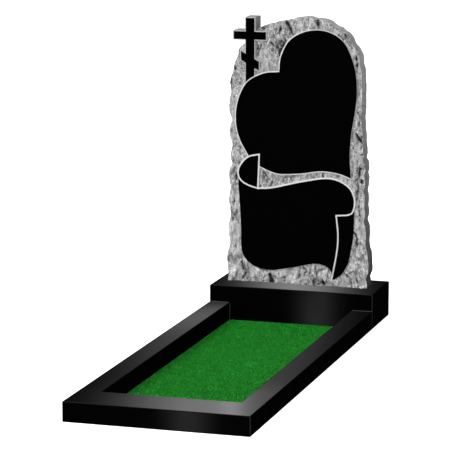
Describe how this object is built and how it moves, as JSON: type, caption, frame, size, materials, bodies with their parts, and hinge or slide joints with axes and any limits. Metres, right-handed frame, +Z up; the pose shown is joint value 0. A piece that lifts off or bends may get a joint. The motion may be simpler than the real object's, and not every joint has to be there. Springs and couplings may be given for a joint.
{
  "type": "upright headstone with kerb set",
  "caption": "Upright headstone with a struck edge, a carved cross, heart and scroll, on a polished stand with a kerbed turf bed in front.",
  "frame": {"origin": "on the ground, in the middle of the set's bounding box", "axes": "+Z up, +Y from the foot end of the bed to the headstone, +X to the right for someone who faces the carving"},
  "size_m": [0.6, 1.75, 1.0869],
  "materials": {
    "carved_stone": "matte",
    "polished_stone": "polished",
    "turf": "matte"
  },
  "bodies": {
    "root": {"headstone": "carved_stone", "stand": "polished_stone", "kerb_left": "polished_stone", "kerb_right": "polished_stone", "kerb_front": "polished_stone", "turf_mat": "turf"}
  },
  "joints": []
}
